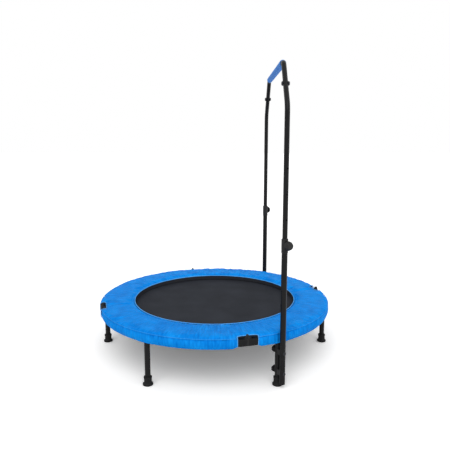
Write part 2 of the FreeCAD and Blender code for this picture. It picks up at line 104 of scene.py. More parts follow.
def finishMaterial(material, settings, links):
    surface = addNode(material, "ShaderNodeBsdfPrincipled", settings, links)
    addNode(material, "ShaderNodeOutputMaterial", None, {"Surface": surface.outputs["BSDF"]})
    return material


def powderCoat():
    # Polyester powder coat baked on steel tube: deep black gloss with a faint orange peel, 2.2 mm across.
    material = startMaterial("powderCoatedSteel")
    place = addNode(material, "ShaderNodeTexCoord")
    peel = addNode(material, "ShaderNodeTexNoise", {"Scale": 1 / 0.0022, "Detail": 1.5},
                   {"Vector": place.outputs["Object"]})
    bump = addNode(material, "ShaderNodeBump", {"Strength": 0.25, "Distance": 0.0001}, {"Height": peel.outputs["Fac"]})
    haze = addNode(material, "ShaderNodeTexNoise", {"Scale": 1 / 0.045, "Detail": 4},
                   {"Vector": place.outputs["Object"]})
    gloss = addNode(material, "ShaderNodeMapRange", {1: 0.3, 2: 0.7, 3: 0.24, 4: 0.36}, {0: haze.outputs["Fac"]})
    tint = addNode(material, "ShaderNodeMix", {"data_type": "RGBA", 6: hexColour("121213"), 7: hexColour("1b1b1c")},
                   {0: haze.outputs["Fac"]})
    return finishMaterial(material, {"IOR": 1.5, "Specular IOR Level": 0.12},
                          {"Base Color": tint.outputs[2], "Roughness": gloss.outputs[0],
                           "Normal": bump.outputs["Normal"]})


def satinPaint():
    # Black spray paint on a stamped and welded hinge: satin, with a slightly rough skin, paler where edges are rubbed.
    # Its grit is about 0.3 mm, drawn at 1.2 mm to show.
    material = startMaterial("satinPaintedSteel")
    place = addNode(material, "ShaderNodeTexCoord")
    grit = addNode(material, "ShaderNodeTexNoise", {"Scale": 1 / 0.0012, "Detail": 3},
                   {"Vector": place.outputs["Object"]})
    bump = addNode(material, "ShaderNodeBump", {"Strength": 0.35, "Distance": 0.0001}, {"Height": grit.outputs["Fac"]})
    rub = addNode(material, "ShaderNodeNewGeometry")
    edge = addNode(material, "ShaderNodeMapRange", {1: 0.52, 2: 0.6, 3: 0.0, 4: 1.0}, {0: rub.outputs["Pointiness"]})
    tint = addNode(material, "ShaderNodeMix", {"data_type": "RGBA", 6: hexColour("161617"), 7: hexColour("2a2a2b")},
                   {0: edge.outputs[0]})
    return finishMaterial(material, {"IOR": 1.5, "Roughness": 0.5, "Specular IOR Level": 0.12},
                          {"Base Color": tint.outputs[2], "Normal": bump.outputs["Normal"]})


def blackenedSteel(name, dark, light, rough):
    # Steel with a black oxide or black zinc finish: metal that shows a soft dark glint.
    material = startMaterial(name)
    place = addNode(material, "ShaderNodeTexCoord")
    bloom = addNode(material, "ShaderNodeTexNoise", {"Scale": 1 / 0.003, "Detail": 4},
                    {"Vector": place.outputs["Object"]})
    tint = addNode(material, "ShaderNodeMix", {"data_type": "RGBA", 6: hexColour(dark), 7: hexColour(light)},
                   {0: bloom.outputs["Fac"]})
    bump = addNode(material, "ShaderNodeBump", {"Strength": 0.2, "Distance": 0.00005}, {"Height": bloom.outputs["Fac"]})
    return finishMaterial(material, {"Metallic": 0.85, "Roughness": rough},
                          {"Base Color": tint.outputs[2], "Normal": bump.outputs["Normal"]})


def mouldedRubber():
    # Vulcanised rubber: dead black, matt, with a fine grain and a little pale dust.
    # The grain is about 0.3 mm, drawn at 0.9 mm to show.
    material = startMaterial("mouldedRubber")
    place = addNode(material, "ShaderNodeTexCoord")
    grain = addNode(material, "ShaderNodeTexNoise", {"Scale": 1 / 0.0009, "Detail": 3},
                    {"Vector": place.outputs["Object"]})
    bump = addNode(material, "ShaderNodeBump", {"Strength": 0.4, "Distance": 0.00012}, {"Height": grain.outputs["Fac"]})
    dust = addNode(material, "ShaderNodeTexNoise", {"Scale": 1 / 0.02, "Detail": 5},
                   {"Vector": place.outputs["Object"]})
    tint = addNode(material, "ShaderNodeMix", {"data_type": "RGBA", 6: hexColour("0e0e0f"), 7: hexColour("1d1d1e")},
                   {0: dust.outputs["Fac"]})
    return finishMaterial(material, {"IOR": 1.52, "Roughness": 0.72, "Specular IOR Level": 0.2},
                          {"Base Color": tint.outputs[2], "Normal": bump.outputs["Normal"]})


def mouldedNylon():
    # Injection-moulded nylon: black, satin, with the spark texture of its mould.
    # The texture is 0.1 mm fine, drawn at 0.7 mm to show.
    material = startMaterial("mouldedNylon")
    place = addNode(material, "ShaderNodeTexCoord")
    spark = addNode(material, "ShaderNodeTexVoronoi", {"Scale": 1 / 0.0007}, {"Vector": place.outputs["Object"]})
    bump = addNode(material, "ShaderNodeBump", {"Strength": 0.3, "Distance": 0.00008},
                   {"Height": spark.outputs["Distance"]})
    haze = addNode(material, "ShaderNodeTexNoise", {"Scale": 1 / 0.012, "Detail": 3},
                   {"Vector": place.outputs["Object"]})
    tint = addNode(material, "ShaderNodeMix", {"data_type": "RGBA", 6: hexColour("111113"), 7: hexColour("1a1a1d")},
                   {0: haze.outputs["Fac"]})
    gloss = addNode(material, "ShaderNodeMapRange", {1: 0.3, 2: 0.7, 3: 0.4, 4: 0.52}, {0: haze.outputs["Fac"]})
    return finishMaterial(material, {"IOR": 1.53, "Specular IOR Level": 0.25},
                          {"Base Color": tint.outputs[2], "Roughness": gloss.outputs[0],
                           "Normal": bump.outputs["Normal"]})


def zincWire():
    # Drawn spring wire, bright zinc plated: silvery, with fine draw lines and a faint dull bloom.
    material = startMaterial("zincPlatedSpringWire")
    place = addNode(material, "ShaderNodeTexCoord")
    bloom = addNode(material, "ShaderNodeTexNoise", {"Scale": 1 / 0.004, "Detail": 5},
                    {"Vector": place.outputs["Object"]})
    tint = addNode(material, "ShaderNodeMix", {"data_type": "RGBA", 6: hexColour("a6a9ad"), 7: hexColour("d3d5d8")},
                   {0: bloom.outputs["Fac"]})
    gloss = addNode(material, "ShaderNodeMapRange", {1: 0.3, 2: 0.7, 3: 0.25, 4: 0.42}, {0: bloom.outputs["Fac"]})
    return finishMaterial(material, {"Metallic": 1.0}, {"Base Color": tint.outputs[2], "Roughness": gloss.outputs[0]})


def wovenHeight(material, coordinates, pitch):
    # The height of a plain weave: one thread over, one under.
    waves = 0.314159 / pitch   # the wave node repeats every 0.314159 / scale
    warp = addNode(material, "ShaderNodeTexWave", {"bands_direction": "X", "Scale": waves}, {"Vector": coordinates})
    weft = addNode(material, "ShaderNodeTexWave", {"bands_direction": "Y", "Scale": waves}, {"Vector": coordinates})
    over = addNode(material, "ShaderNodeTexChecker", {"Scale": 1 / pitch}, {"Vector": coordinates})
    return addNode(material, "ShaderNodeMix", {"data_type": "FLOAT"},
                   {0: over.outputs["Fac"], 2: warp.outputs["Fac"], 3: weft.outputs["Fac"]})


def matWeave():
    # Woven polypropylene jumping mat: matt charcoal, a close plain weave and a faint cloudiness.
    # Its 1 mm tapes are too fine to show, so they are drawn 3 mm wide.
    material = startMaterial("wovenPolypropylene")
    place = addNode(material, "ShaderNodeTexCoord")
    weave = wovenHeight(material, place.outputs["Object"], 0.003)
    bump = addNode(material, "ShaderNodeBump", {"Strength": 0.3, "Distance": 0.0003}, {"Height": weave.outputs[0]})
    shade = addNode(material, "ShaderNodeTexNoise", {"Scale": 1 / 0.12, "Detail": 3},
                    {"Vector": place.outputs["Object"]})
    mixed = addNode(material, "ShaderNodeMath", {"operation": "MULTIPLY_ADD", 1: 0.35},
                    {0: weave.outputs[0], 2: shade.outputs["Fac"]})
    share = addNode(material, "ShaderNodeMapRange", {1: 0.35, 2: 1.05, 3: 0.0, 4: 1.0}, {0: mixed.outputs[0]})
    tint = addNode(material, "ShaderNodeMix", {"data_type": "RGBA", 6: hexColour("26282d"), 7: hexColour("33363d")},
                   {0: share.outputs[0]})
    return finishMaterial(material, {"IOR": 1.49, "Roughness": 0.75, "Specular IOR Level": 0.05},
                          {"Base Color": tint.outputs[2], "Normal": bump.outputs["Normal"]})


def coatedCloth(name, dark, light):
    # PVC-coated polyester cloth: strong blue, a soft plastic gloss, and small creases that run out from its seams.
    # The weave is 0.6 mm, drawn at 1.6 mm to show at all. The creases are 7 mm apart and 45 mm long.
    material = startMaterial(name)
    follow = addNode(material, "ShaderNodeUVMap", {"uv_map": "cloth"})
    weave = wovenHeight(material, follow.outputs["UV"], 0.0016)
    drawn = addNode(material, "ShaderNodeMapping", {"Scale": (1 / 0.007, 1 / 0.045, 1)},
                    {"Vector": follow.outputs["UV"]})
    creases = addNode(material, "ShaderNodeTexNoise", {"Scale": 1, "Detail": 3, "Roughness": 0.55},
                      {"Vector": drawn.outputs["Vector"]})
    place = addNode(material, "ShaderNodeTexCoord")
    crush = addNode(material, "ShaderNodeTexNoise", {"Scale": 1 / 0.012, "Detail": 4, "Roughness": 0.6},
                    {"Vector": place.outputs["Object"]})
    fine = addNode(material, "ShaderNodeMath", {"operation": "MULTIPLY_ADD", 1: 0.12},
                   {0: weave.outputs[0], 2: crush.outputs["Fac"]})
    relief = addNode(material, "ShaderNodeMath", {"operation": "MULTIPLY_ADD", 1: 1.6},
                     {0: creases.outputs["Fac"], 2: fine.outputs[0]})
    bump = addNode(material, "ShaderNodeBump", {"Strength": 0.7, "Distance": 0.0024}, {"Height": relief.outputs[0]})
    patch = addNode(material, "ShaderNodeTexNoise", {"Scale": 1 / 0.05, "Detail": 3},
                    {"Vector": place.outputs["Object"]})
    # The tint is painted light and shade along the creases, mixed with 5 cm patches of random tone.
    creaseShadeAndPatchTone = addNode(material, "ShaderNodeMath", {"operation": "MULTIPLY_ADD", 1: 1.4},
                   {0: creases.outputs["Fac"], 2: patch.outputs["Fac"]})
    share = addNode(material, "ShaderNodeMapRange", {1: 0.88, 2: 1.52, 3: 0.0, 4: 1.0}, {0: creaseShadeAndPatchTone.outputs[0]})
    tint = addNode(material, "ShaderNodeMix", {"data_type": "RGBA", 6: hexColour(dark), 7: hexColour(light)},
                   {0: share.outputs[0]})
    gloss = addNode(material, "ShaderNodeMapRange", {1: 0.3, 2: 0.7, 3: 0.36, 4: 0.52}, {0: crush.outputs["Fac"]})
    return finishMaterial(material, {"IOR": 1.5, "Specular IOR Level": 0.015},
                          {"Base Color": tint.outputs[2], "Roughness": gloss.outputs[0],
                           "Normal": bump.outputs["Normal"]})


def liningCloth():
    # Spun-bonded polypropylene lining: dull charcoal, with the small square dimples of its bonding, 2 mm apart. It is
    # also laid as painted shade on the notch walls and on the band turned up under the pad's inner lip.
    material = startMaterial("spunBondedLiningAndShade")
    follow = addNode(material, "ShaderNodeUVMap", {"uv_map": "cloth"})
    dimples = wovenHeight(material, follow.outputs["UV"], 0.002)
    fibres = addNode(material, "ShaderNodeTexNoise", {"Scale": 1 / 0.0015, "Detail": 3},
                     {"Vector": follow.outputs["UV"]})
    relief = addNode(material, "ShaderNodeMath", {"operation": "MULTIPLY_ADD", 1: 0.5},
                     {0: dimples.outputs[0], 2: fibres.outputs["Fac"]})
    bump = addNode(material, "ShaderNodeBump", {"Strength": 0.4, "Distance": 0.0003}, {"Height": relief.outputs[0]})
    tint = addNode(material, "ShaderNodeMix", {"data_type": "RGBA", 6: hexColour("2b2c31"), 7: hexColour("36373d")},
                   {0: fibres.outputs["Fac"]})
    return finishMaterial(material, {"IOR": 1.49, "Roughness": 0.85, "Specular IOR Level": 0.05},
                          {"Base Color": tint.outputs[2], "Normal": bump.outputs["Normal"]})


def webbing():
    # Woven polypropylene webbing: black, matt, with ribs across its width 1.5 mm apart.
    material = startMaterial("polypropyleneWebbing")
    follow = addNode(material, "ShaderNodeUVMap", {"uv_map": "cloth"})
    ribs = wovenHeight(material, follow.outputs["UV"], 0.0015)
    bump = addNode(material, "ShaderNodeBump", {"Strength": 0.5, "Distance": 0.0004}, {"Height": ribs.outputs[0]})
    tint = addNode(material, "ShaderNodeMix", {"data_type": "RGBA", 6: hexColour("17181b"), 7: hexColour("26272b")},
                   {0: ribs.outputs[0]})
    return finishMaterial(material, {"IOR": 1.49, "Roughness": 0.7, "Specular IOR Level": 0.15},
                          {"Base Color": tint.outputs[2], "Normal": bump.outputs["Normal"]})


def foamSkin():
    # Closed-cell EVA foam tube: soft dusty blue, matt, with fine cut pores, about 0.6 mm and drawn at 1.8 mm to show.
    material = startMaterial("closedCellFoam")
    place = addNode(material, "ShaderNodeTexCoord")
    pores = addNode(material, "ShaderNodeTexVoronoi", {"Scale": 1 / 0.0018}, {"Vector": place.outputs["Object"]})
    bump = addNode(material, "ShaderNodeBump", {"Strength": 0.5, "Distance": 0.0004},
                   {"Height": pores.outputs["Distance"]})
    cloud = addNode(material, "ShaderNodeTexNoise", {"Scale": 1 / 0.02, "Detail": 4},
                    {"Vector": place.outputs["Object"]})
    tint = addNode(material, "ShaderNodeMix", {"data_type": "RGBA", 6: hexColour("4080d0"), 7: hexColour("4e90e2")},
                   {0: cloud.outputs["Fac"]})
    return finishMaterial(material, {"IOR": 1.45, "Roughness": 0.85, "Specular IOR Level": 0.15, "Sheen Weight": 0.05},
                          {"Base Color": tint.outputs[2], "Normal": bump.outputs["Normal"]})


coatBlack = powderCoat()
paintBlack = satinPaint()
pinSteel = blackenedSteel("blackOxideSteel", "1b1b1d", "2c2c2f", 0.42)
boltSteel = blackenedSteel("blackZincSteel", "222327", "34353a", 0.34)
rubber = mouldedRubber()
nylon = mouldedNylon()
zinc = zincWire()
weave = matWeave()
padCloth = coatedCloth("coatedPolyesterCloth", "0376d6", "1298f6")
# The binding and the piping cloths are paler than the pad cloth: partly a paler tape, partly a painted highlight on
# their rounded edges.
bindingTapeAndHighlight = coatedCloth("coatedBindingTapeAndHighlight", "48a4f2", "6ab8f8")
pipingTapeAndHighlight = coatedCloth("coatedPipingTapeAndHighlight", "1e8ce6", "3ea2f4")
foam = foamSkin()
strap = webbing()
liningAndShadeCloth = liningCloth()

finishes = {
    coatBlack: ["frame_arc", "leg_", "lower_upright", "upper_upright", "handle_bar"],
    paintBlack: ["_hinge_"],
    pinSteel: ["_pin"],
    boltSteel: ["splice_bolt", "clamp_bolts"],
    rubber: ["foot_", "end_plug"],
    nylon: ["collar", "adjuster", "saddles", "clamp_knob"],
    zinc: ["v_rings", "springs_"],
    weave: ["mat_"],
    padCloth: ["pad_"],
    foam: ["foam_grip"],
}
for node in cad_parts.values():
    for finish, names in finishes.items():
        if any(name in node.name for name in names):
            node.data.materials.clear()
            node.data.materials.append(finish)
print("materials made")

weldDistance = 0.00005   # points nearer than this become one
clothTurn = 0.45         # metres of cloth for each radian round the ring


def clearSelection():
    bpy.ops.object.select_all(action="DESELECT")


def pieceFrom(name, shape, finish):
    # A new piece from a shape, which is then let go.
    mesh = bpy.data.meshes.new(name)
    shape.to_mesh(mesh)
    shape.free()
    piece = bpy.data.objects.new(name, mesh)
    bpy.context.collection.objects.link(piece)
    piece.data.materials.append(finish)
    return piece


def choose(piece):
    clearSelection()
    piece.select_set(True)
    bpy.context.view_layer.objects.active = piece


def applyPlace():
    # The selected object's place, turn and scale go into its mesh.
    bpy.ops.object.transform_apply(location=True, rotation=True, scale=True)


def applyModifier(piece, kind, **settings):
    choose(piece)
    modifier = piece.modifiers.new(kind.lower(), kind)
    for name, value in settings.items():
        setattr(modifier, name, value)
    bpy.ops.object.modifier_apply(modifier=modifier.name)


def smooth(piece, angle=180):
    choose(piece)
    bpy.ops.object.shade_smooth_by_angle(angle=radians(angle))


def drawOut(x, y, z):
    bpy.ops.mesh.extrude_region_move(TRANSFORM_OT_translate={"value": (x, y, z)})


def ringUv(piece):
    # Cloth coordinates in metres: along the ring, and across it or down its side.
    uv = piece.data.uv_layers.new(name="cloth")
    for face in piece.data.polygons:
        middle = atan2(face.center.y, face.center.x)
        side = abs(face.normal.z) < 0.5
        for loop in face.loop_indices:
            place = piece.data.vertices[piece.data.loops[loop].vertex_index].co
            angle = atan2(place.y, place.x)
            angle += tau * round((middle - angle) / tau)
            across = place.z if side else hypot(place.x, place.y)
            uv.data[loop].uv = (angle * clothTurn, across)


def acrossFold(piece):
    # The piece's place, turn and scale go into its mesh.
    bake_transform(piece)


padCover = {
    "innerRadius": matRadius - 0.014, "level": outerRadius - 0.034, "outerRadius": outerRadius + 0.0003,
    "underside": padHigh.z - 0.0138, "top": padHigh.z - 0.0020,
    "lipBottom": 0.1978, "lipTop": padHigh.z - 0.0045, "lipNose": 0.2125, "lipInset": 0.0008, "tuckUnder": 0.0035,
    "footRounding": 0.002, "shoulderRounding": 0.008, "lipRounding": 0.003, "notchCorner": 0.014,
    "segments": 360, "voxel": 0.006, "channel": 0.0115, "channelDepth": 0.0034,
    "heldHeight": 0.0035, "heldMargin": 0.003, "heldLip": 0.004, "lipHold": 0.7,
    "swell": 0.06, "pressure": 4.0, "cap": 0.0045, "steps": 20,
    "gather": 0.0130, "gatherDepth": 0.0012, "gatherReach": 0.020,
    "edgeGather": 0.0110, "edgeDepth": 0.0007, "edgeReach": 0.016,
    "foldReach": 0.025,
}
padClothSettings = {
    "quality": 6, "mass": 0.25, "tension_stiffness": 12, "compression_stiffness": 12, "shear_stiffness": 6,
    "bending_stiffness": 0.3, "use_pressure": True, "uniform_pressure_force": padCover["pressure"],
    "shrink_min": -padCover["swell"],
}

# The blocks that cut the notches: how far they pass the pad, where they start and how tall they are.
cutter = {"overrun": 0.02, "foot": 0.15, "height": 0.1}

# Round each hinge the pad is cut back to a radius, from one side of the hinge's angle to the other.
notches = {
    15.0: (outerRadius - 0.0252, -0.040, 0.040), 105.0: (outerRadius - 0.0150, -0.040, 0.040),
    195.0: (outerRadius - 0.0252, -0.038, 0.056), 285.0: (outerRadius - 0.0150, -0.040, 0.040),
}


def roundedOutline(corners, steps=4):
    # (x, y, rounding) corners to points, each corner cut by a short curve.
    points = []
    for i, (x, y, size) in enumerate(corners):
        here = Vector((x, y))
        before = Vector(corners[i - 1][:2])
        after = Vector(corners[(i + 1) % len(corners)][:2])
        if not size:
            points.append(here)
            continue
        start = here + (before - here).normalized() * size
        end = here + (after - here).normalized() * size
        for step in range(steps + 1):
            t = step / steps
            points.append(start * (1 - t) ** 2 + here * 2 * t * (1 - t) + end * t ** 2)
    return points


def spunRing(name, points, steps, finish, closed=True):
    # An outline spun once round the middle of the mat.
    shape = bmesh.new()
    line = [shape.verts.new((p.x, 0, p.y)) for p in points]
    edges = [shape.edges.new(pair) for pair in zip(line, line[1:] + line[:1] if closed else line[1:])]
    bmesh.ops.spin(shape, geom=line + edges, axis=(0, 0, 1), cent=(0, 0, 0), angle=tau, steps=steps, use_merge=True)
    bmesh.ops.remove_doubles(shape, verts=shape.verts, dist=weldDistance)
    bmesh.ops.recalc_face_normals(shape, faces=shape.faces)
    sortFaces(shape)
    return pieceFrom(name, shape, finish)


def sortFaces(shape):
    # Spin leaves its faces in a new order on each run. In a fixed order the cloth comes out the same each time.
    shape.verts.index_update()
    corners = {face: sorted(v.index for v in face.verts) for face in shape.faces}
    shape.faces.sort(key=lambda face: corners[face][0] * len(shape.verts) + corners[face][-1])


def rotationAbout(angle):
    return Matrix.Rotation(angle, 3, "Z")


def notchCutter(angle):
    # The block that cuts one notch, with rounded inner corners.
    inner, start, end = notches[angle]
    outer = outerRadius + cutter["overrun"]
    corner = padCover["notchCorner"]
    points = roundedOutline([(inner, start, corner), (inner, end, corner), (outer, end, 0), (outer, start, 0)], 6)
    shape = bmesh.new()
    face = shape.faces.new([shape.verts.new((q.x, q.y, cutter["foot"])) for q in points])
    made = bmesh.ops.extrude_face_region(shape, geom=[face])
    raised = [v for v in made["geom"] if isinstance(v, bmesh.types.BMVert)]
    bmesh.ops.translate(shape, verts=raised, vec=(0, 0, cutter["height"]))
    bmesh.ops.rotate(shape, verts=shape.verts, cent=(0, 0, 0), matrix=rotationAbout(radians(angle)))
    bmesh.ops.recalc_face_normals(shape, faces=shape.faces)
    return pieceFrom("notchCutter", shape, padCloth)


def insideNotch(place, margin):
    # True within a notch widened by a margin.
    for angle, (inner, start, end) in notches.items():
        turned = rotationAbout(radians(-angle)) @ place
        if turned.x > inner - margin and start - margin < turned.y < end + margin:
            return True
    return False


def makePadCover():
    # One ring of foam in its cloth, notched, puffed up and gathered.
    p = padCover
    low, high, inner = p["underside"], p["top"], p["innerRadius"]
    lip = inner + p["lipInset"]
    corners = [(inner + p["tuckUnder"], p["lipBottom"], p["footRounding"]), (p["level"], low, 0),
               (p["outerRadius"], low, p["footRounding"]), (p["outerRadius"], high, p["shoulderRounding"]),
               (inner + p["channel"], high, 0), (lip, p["lipTop"], p["lipRounding"]), (lip, p["lipNose"], 0)]
    cover = spunRing("padCover", roundedOutline(corners), p["segments"], padCloth)
    for angle in notches:
        block = notchCutter(angle)
        applyModifier(cover, "BOOLEAN", operation="DIFFERENCE", solver="EXACT", object=block)
        bpy.data.objects.remove(block)
    applyModifier(cover, "REMESH", mode="VOXEL", voxel_size=p["voxel"])
    seam = inner + p["channel"]
    held = cover.vertex_groups.new(name="held")
    for vertex in cover.data.vertices:
        radius = hypot(vertex.co.x, vertex.co.y)
        slope = min(1, max(0, (radius - inner) / (p["level"] - inner)))
        above = vertex.co.z - (p["lipBottom"] + (low - p["lipBottom"]) * slope)
        channel = abs(radius - seam) < p["voxel"] * 0.55 and above > 0.004
        if channel:
            vertex.co.z -= p["channelDepth"]
        if above < p["heldHeight"] or channel or insideNotch(vertex.co, p["heldMargin"]):
            held.add([vertex.index], 1.0, "REPLACE")
        elif radius < inner + p["heldLip"]:
            held.add([vertex.index], p["lipHold"], "REPLACE")
    puffUp(cover, held.name)
    applyModifier(cover, "SUBSURF", levels=1, render_levels=1)
    cover.vertex_groups.clear()
    gatherCover(cover, seam)
    # The notch walls take the dark lining cloth as painted shade inside the notches.
    cover.data.materials.append(liningAndShadeCloth)
    for face in cover.data.polygons:
        if abs(face.normal.z) < 0.7 and face.center.z < high - 0.0015 and insideNotch(face.center, 0.004):
            face.material_index = 1
    smooth(cover)
    ringUv(cover)
    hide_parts("pad_fixed_half", "pad_folding_half")
    return cover


def gatherCover(piece, seam):
    # Small gathers that fade away from the inner seam and from the outer edge.
    p = padCover
    middle = (p["underside"] + p["top"]) / 2
    for vertex in piece.data.vertices:
        place = vertex.co
        radius = hypot(place.x, place.y)
        length = atan2(place.y, place.x) * radius
        around = Vector((place.x, place.y, 0)) / radius
        strength = 0.3 + 1.6 * abs(noise.noise(around * 9))
        if place.z > p["lipNose"]:
            near = max(0, 1 - abs(radius - seam) / p["gatherReach"])
            wave = sin(tau * length / p["gather"] + 7 * noise.noise(around * 11))
            place.z += p["gatherDepth"] * strength * near * wave
        if radius > outerRadius - p["edgeReach"] and not insideNotch(place, 0.006):
            near = min(1, (radius - outerRadius + p["edgeReach"]) / 0.012)
            near *= min(1, max(0, (place.z - p["underside"]) / 0.003))
            wave = sin(tau * length / p["edgeGather"] + 9 * noise.noise(around * 8))
            push = p["edgeDepth"] * strength * near * wave
            place += around * push * 0.5 + Vector((0, 0, push * 0.8 if place.z > middle else 0))


def puffUp(piece, heldGroup):
    # The cover swells a little under its foam's push and puckers between its seams. No point moves past the cap.
    start = [v.co.copy() for v in piece.data.vertices]
    choose(piece)
    cloth = piece.modifiers.new("cloth", "CLOTH")
    for name, value in padClothSettings.items():
        setattr(cloth.settings, name, value)
    cloth.settings.vertex_group_mass = heldGroup
    cloth.settings.effector_weights.gravity = 0
    cloth.point_cache.frame_start = 1
    cloth.point_cache.frame_end = padCover["steps"]
    for step in range(1, padCover["steps"] + 1):
        bpy.context.scene.frame_set(step)
    bpy.ops.object.modifier_apply(modifier=cloth.name)
    bpy.context.scene.frame_set(1)
    for vertex, place in zip(piece.data.vertices, start):
        moved = vertex.co - place
        if moved.length > padCover["cap"]:
            vertex.co = place + moved * (padCover["cap"] / moved.length)


cover = makePadCover()
print("pad cover made:", len(cover.data.polygons), "faces")


padSkirt = {
    "top": padHigh.z - 0.0105, "bottom": padLow.z + 0.0002, "rows": 16, "step": 0.0024, "thickness": 0.0008,
    "seam": 0.0014, "belly": 0.0022, "tuck": 0.0030, "fold": 0.0135, "depth": 0.0016, "drift": 0.005,
    "pucker": 0.0049, "puckerDepth": 0.0004, "hemWander": 0.0005,
    "cornerRise": 0.0080, "cornerReach": 0.0200, "endGap": 0.0006, "fullness": 1.06,
    # The nearest the cloth comes to the ring, beside it, and lower down where it may tuck in.
    "besideRing": 0.0022, "underRing": 0.0055, "ringBottom": 0.0115,
}


def edgeStrips():
    # The first and last angle of each stretch of the edge between two notches.
    gap = padSkirt["endGap"]
    angles = list(notches)
    return [(radians(first) + asin((notches[first][2] + gap) / outerRadius),
             radians(first + 90) + asin((notches[last][1] - gap) / outerRadius))
            for first, last in zip(angles, angles[1:] + angles[:1])]


def skirtRadius(length, angle, height):
    # The elastic pulls the hem in under the ring, except where a leg stands in its way.
    p = padSkirt
    down = (p["top"] - height) / (p["top"] - p["bottom"])
    leg = max(cos(radians(a) - angle) for a in legAngles)
    clearOfLeg = min(1, max(0, (0.99925 - leg) / 0.0022))
    radius = outerRadius - p["seam"] + p["belly"] * sin(pi * min(1, down * 1.1))
    radius -= p["tuck"] * clearOfLeg * max(0, (down - 0.6) / 0.4) ** 1.5
    drift = length + p["drift"] * down * noise.noise((length * 9, down * 1.5, 7))
    strength = 0.35 + 0.9 * abs(noise.noise((length * 26, 3, 1)))
    wave = sin(tau * (drift / p["fold"] + 0.9 * noise.noise((drift * 15, 0.3, 2))))
    radius += p["depth"] * strength * wave * (0.25 + 0.75 * sin(pi * min(1, 0.1 + down * 0.85)))
    edge = max(0, 1 - down * 7) + max(0, 1 - (1 - down) * 6)
    radius += p["puckerDepth"] * edge * sin(tau * (length / p["pucker"] + 0.7 * noise.noise((length * 40, 5, 2))))
    beside = height > ringHeight - p["ringBottom"] or clearOfLeg < 0.9
    return max(radius, outerRadius - (p["besideRing"] if beside else p["underRing"]))


def makePadSkirt():
    # Four gathered strips between the notches, in one piece.
    p = padSkirt
    shape = bmesh.new()
    for start, end in edgeStrips():
        count = round((end - start) * outerRadius / p["step"])
        columns = []
        for i in range(count + 1):
            angle = start + (end - start) * i / count
            fromEnd = min(angle - start, end - angle) * outerRadius
            hem = p["bottom"] + p["cornerRise"] * max(0, 1 - fromEnd / p["cornerReach"]) ** 2
            column = []
            for row in range(p["rows"] + 1):
                height = p["top"] + (hem - p["top"]) * row / p["rows"]
                height += p["hemWander"] * noise.noise((angle * 40, row * 0.2, 4)) * row / p["rows"]
                radius = skirtRadius(angle * outerRadius, angle, height)
                column.append(shape.verts.new((radius * cos(angle), radius * sin(angle), height)))
            columns.append(column)
        for left, right in zip(columns, columns[1:]):
            for row in range(p["rows"]):
                shape.faces.new((left[row], left[row + 1], right[row + 1], right[row]))
    skirt = pieceFrom("padSkirt", shape, padCloth)
    applyModifier(skirt, "SOLIDIFY", thickness=p["thickness"], offset=1.0, use_even_offset=True)
    smooth(skirt)
    ringUv(skirt)
    return skirt


skirt = makePadSkirt()
print("skirt made:", len(skirt.data.polygons), "faces")


def pipedEdge(name, paths, radius, finish, closed=False):
    # A round edging sewn along each path.
    curve = bpy.data.curves.new(name, "CURVE")
    curve.dimensions = "3D"
    curve.bevel_depth = radius
    curve.bevel_resolution = 2
    curve.resolution_u = 3
    curve.use_fill_caps = True
    for path in paths:
        line = curve.splines.new("NURBS")
        line.points.add(len(path) - 1)
        for point, place in zip(line.points, path):
            point.co = (*place, 1)
        line.order_u = 3
        line.use_endpoint_u = not closed
        line.use_cyclic_u = closed
    piece = bpy.data.objects.new(name, curve)
    bpy.context.collection.objects.link(piece)
    choose(piece)
    bpy.ops.object.convert(target="MESH")
    piece = bpy.context.object
    piece.data.materials.clear()
    piece.data.materials.append(finish)
    smooth(piece, 60)
    ringUv(piece)
    acrossFold(piece)


padBinding = {
    "weltRadius": 0.0018, "weltHeight": 0.2170, "weltInset": 0.0004, "weltPoints": 300,
    "notchRadius": 0.0015, "notchProud": 0.0004, "notchLift": 0.0003,
    "pipingRadius": 0.0015, "pipingHeight": 0.2140, "pipingInset": 0.0004, "pipingSteps": 120,
}


def makeInnerWelt():
    p = padBinding
    path = []
    for i in range(p["weltPoints"]):
        angle = tau * i / p["weltPoints"]
        radius = padCover["innerRadius"] + p["weltInset"] + 0.0004 * noise.noise((angle * 30, 0, 1))
        height = p["weltHeight"] + 0.0006 * noise.noise((angle * 22, 0, 6))
        path.append((radius * cos(angle), radius * sin(angle), height))
    # The welt's pale cloth is partly a paler tape and partly a painted highlight along the pad's inner rim.
    pipedEdge("padInnerWelt", [path], p["weltRadius"], bindingTapeAndHighlight, True)


def makeNotchBinding():
    # Up the skirt's end, over the shoulder, round the notch and down the other side.
    outer = outerRadius + padBinding["notchProud"]
    hem = padSkirt["bottom"] + padSkirt["cornerRise"]
    top = padHigh.z - 0.0014
    bend = padCover["notchCorner"]
    lift = padBinding["notchLift"]
    paths = []
    for angle, (inner, start, end) in notches.items():
        inner += lift
        line = []
        for edge, inwards in ((start, 1), (end, -1)):
            edge -= lift * inwards
            side = [(outer - 0.0008, hem), (outer, 0.1860), (outer + 0.0002, 0.1950), (outer, top - 0.0105),
                    (outer - 0.0008, top - 0.0062), (outer - 0.0024, top - 0.0026), (outer - 0.0050, top - 0.0008),
                    (outer - 0.0085, top)]
            corner = [(bend * 0.7, 0), (bend * 0.2, bend * 0.2), (0, bend * 0.7), (0, bend * 1.3)]
            half = [Vector((r, edge, z)) for r, z in side]
            half += [Vector((inner + out, edge + inwards * along, top)) for out, along in corner]
            line += half if inwards > 0 else half[::-1]
        paths.append([rotationAbout(radians(angle)) @ place for place in line])
    # The binding's pale cloth is partly a paler tape and partly a painted highlight round each notch.
    pipedEdge("padNotchBinding", paths, padBinding["notchRadius"], bindingTapeAndHighlight)


def surfaceOf(piece):
    return BVHTree.FromPolygons([v.co for v in piece.data.vertices], [f.vertices for f in piece.data.polygons])


